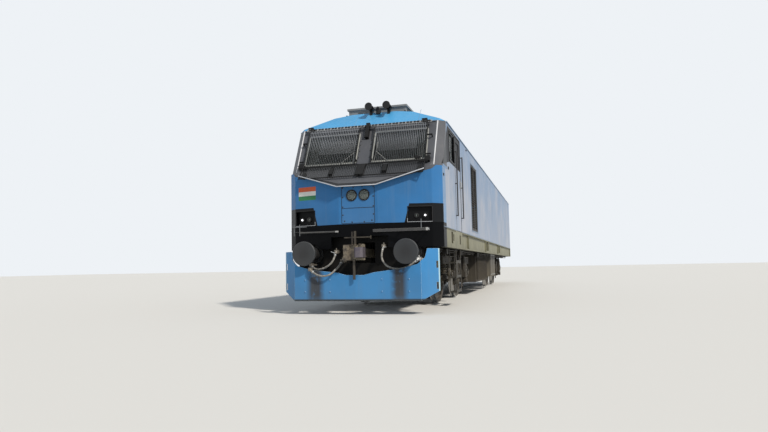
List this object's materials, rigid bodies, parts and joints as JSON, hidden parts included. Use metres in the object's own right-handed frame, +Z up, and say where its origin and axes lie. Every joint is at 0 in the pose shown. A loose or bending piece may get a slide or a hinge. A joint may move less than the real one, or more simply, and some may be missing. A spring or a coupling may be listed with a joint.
{
  "type": "electric locomotive",
  "caption": "Electric locomotive section with a flat raked cab at one end, box body, two four-wheel bogies, side buffers, centre coupler, plough and a lowered roof pantograph.",
  "frame": {"origin": "under the middle of the whole length and width, at the tips of the wheel flanges", "axes": "+Y along the length to the rear, cab at -Y, +X across, +Z up"},
  "size_m": [3.218, 19.26, 4.2828],
  "materials": {
    "frame_black": "matt, dusty",
    "buffer_steel": "dull, worn",
    "band_black": "satin",
    "body_blue": "satin, dusty",
    "lamp_housing": "gloss",
    "surround_grey": "satin",
    "window_glass": "clear",
    "guard_steel": "satin",
    "cast_steel": "rough",
    "grille_grey": "satin",
    "roof_grey": "matt",
    "bellows_rubber": "matt",
    "cab_lining": "matt",
    "desk_plastic": "matt",
    "seat_fabric": "woven",
    "rail_steel": "satin",
    "unit_cream": "satin",
    "horn_black": "gloss",
    "bogie_grey": "dusty",
    "axlebox_iron": "rough",
    "motor_iron": "rough",
    "wheel_steel": "rolled tread",
    "panto_steel": "satin",
    "panto_alloy": "dull",
    "insulator_brown": "glazed",
    "hose_rubber": "matt"
  },
  "bodies": {
    "carbody": {"underframe": "frame_black", "buffers": "buffer_steel", "bumper_band": "band_black", "nose_shell": "body_blue", "nose_hatch": "body_blue", "lamps": "lamp_housing", "windscreen_surround": "surround_grey", "cab_sides": "body_blue", "cab_roof": "body_blue", "cab_glass": "window_glass", "window_guard": "guard_steel", "wipers": "guard_steel", "rear_coupler": "cast_steel", "plough": "body_blue", "side_walls": "body_blue", "intake_grilles": "grille_grey", "roof_shoulders": "roof_grey", "roof_hatches": "roof_grey", "rear_wall": "body_blue", "gangway_bellows": "bellows_rubber", "cab_bulkhead": "cab_lining", "driver_desk": "desk_plastic", "driver_seats": "seat_fabric", "handrails": "rail_steel", "cab_steps": "frame_black", "air_conditioner": "unit_cream", "horns": "horn_black", "body_bolsters": "frame_black", "transformer_tank": "bogie_grey", "underfloor_boxes": "bogie_grey", "pantograph_base": "panto_steel", "roof_breaker": "insulator_brown", "air_hose_1": "hose_rubber", "air_hose_2": "hose_rubber", "air_hose_3": "hose_rubber", "hose_cocks": "cast_steel"},
    "coupler": {"coupler_head": "cast_steel"},
    "knuckle": {"coupler_knuckle": "cast_steel"},
    "cab_door_left": {"cab_door_left": "body_blue"},
    "cab_door_right": {"cab_door_right": "body_blue"},
    "gangway_door": {"gangway_door": "body_blue"},
    "bogie_front": {"bogie_frame_front": "bogie_grey", "bogie_suspension_front": "axlebox_iron", "traction_motors_front": "motor_iron"},
    "bogie_rear": {"bogie_frame_rear": "bogie_grey", "bogie_suspension_rear": "axlebox_iron", "traction_motors_rear": "motor_iron"},
    "wheelset_1": {"wheelset_1": "wheel_steel"},
    "wheelset_2": {"wheelset_2": "wheel_steel"},
    "wheelset_3": {"wheelset_3": "wheel_steel"},
    "wheelset_4": {"wheelset_4": "wheel_steel"},
    "lower_arm": {"pantograph_lower_arm": "panto_steel"},
    "thrust_rod": {"pantograph_thrust_rod": "panto_steel"},
    "upper_arm": {"pantograph_upper_arm": "panto_alloy"},
    "head": {"pantograph_head": "panto_alloy"}
  },
  "joints": [
    {"name": "bogie_front_turn", "type": "hinge", "parent": "carbody", "child": "bogie_front", "pos_m": [0, -4.88, 0.85], "axis": [0, 0, 1], "range_deg": [-3, 3]},
    {"name": "bogie_rear_turn", "type": "hinge", "parent": "carbody", "child": "bogie_rear", "pos_m": [0, 5.52, 0.85], "axis": [0, 0, 1], "range_deg": [-3, 3]},
    {"name": "wheelset_1_spin", "type": "hinge", "parent": "bogie_front", "child": "wheelset_1", "pos_m": [0, -6.18, 0.653], "axis": [1, 0, 0], "continuous": true},
    {"name": "wheelset_2_spin", "type": "hinge", "parent": "bogie_front", "child": "wheelset_2", "pos_m": [0, -3.58, 0.653], "axis": [1, 0, 0], "continuous": true},
    {"name": "wheelset_3_spin", "type": "hinge", "parent": "bogie_rear", "child": "wheelset_3", "pos_m": [0, 4.22, 0.653], "axis": [1, 0, 0], "continuous": true},
    {"name": "wheelset_4_spin", "type": "hinge", "parent": "bogie_rear", "child": "wheelset_4", "pos_m": [0, 6.82, 0.653], "axis": [1, 0, 0], "continuous": true},
    {"name": "coupler_swing", "type": "hinge", "parent": "carbody", "child": "coupler", "pos_m": [0, -8.31, 1.133], "axis": [0, 0, 1], "range_deg": [-7, 7]},
    {"name": "knuckle_open", "type": "hinge", "parent": "coupler", "child": "knuckle", "pos_m": [0.14, -9.45, 1.133], "axis": [0, 0, 1], "range_deg": [0, 36]},
    {"name": "cab_door_left_open", "type": "hinge", "parent": "carbody", "child": "cab_door_left", "pos_m": [-1.47, -7.21, 2.5], "axis": [0, 0, 1], "range_deg": [-85, 0]},
    {"name": "cab_door_right_open", "type": "hinge", "parent": "carbody", "child": "cab_door_right", "pos_m": [1.47, -7.21, 2.5], "axis": [0, 0, 1], "range_deg": [0, 85]},
    {"name": "gangway_door_open", "type": "hinge", "parent": "carbody", "child": "gangway_door", "pos_m": [-0.316, 9.304, 2.6], "axis": [0, 0, 1], "range_deg": [-85, 0]},
    {"name": "pantograph_raise", "type": "hinge", "parent": "carbody", "child": "lower_arm", "pos_m": [0, 5.27, 4.03], "axis": [1, 0, 0], "range_deg": [0, 48]},
    {"name": "pantograph_rod", "type": "hinge", "parent": "carbody", "child": "thrust_rod", "pos_m": [-0.26, 5.758, 4.009], "axis": [1, 0, 0], "range_deg": [0, 53.11]},
    {"name": "pantograph_elbow", "type": "hinge", "parent": "lower_arm", "child": "upper_arm", "pos_m": [0, 6.81906, 4.08409], "axis": [1, 0, 0], "range_deg": [-96.5, 0]},
    {"name": "pantograph_apex", "type": "hinge", "parent": "upper_arm", "child": "head", "pos_m": [0, 5.19961, 4.1265], "axis": [1, 0, 0], "range_deg": [0, 48.5]}
  ],
  "couplings": [
    {"joint": "pantograph_rod", "follows": "pantograph_raise", "ratio": 1.096},
    {"joint": "pantograph_elbow", "follows": "pantograph_raise", "ratio": -2},
    {"joint": "pantograph_apex", "follows": "pantograph_raise", "ratio": 1}
  ]
}
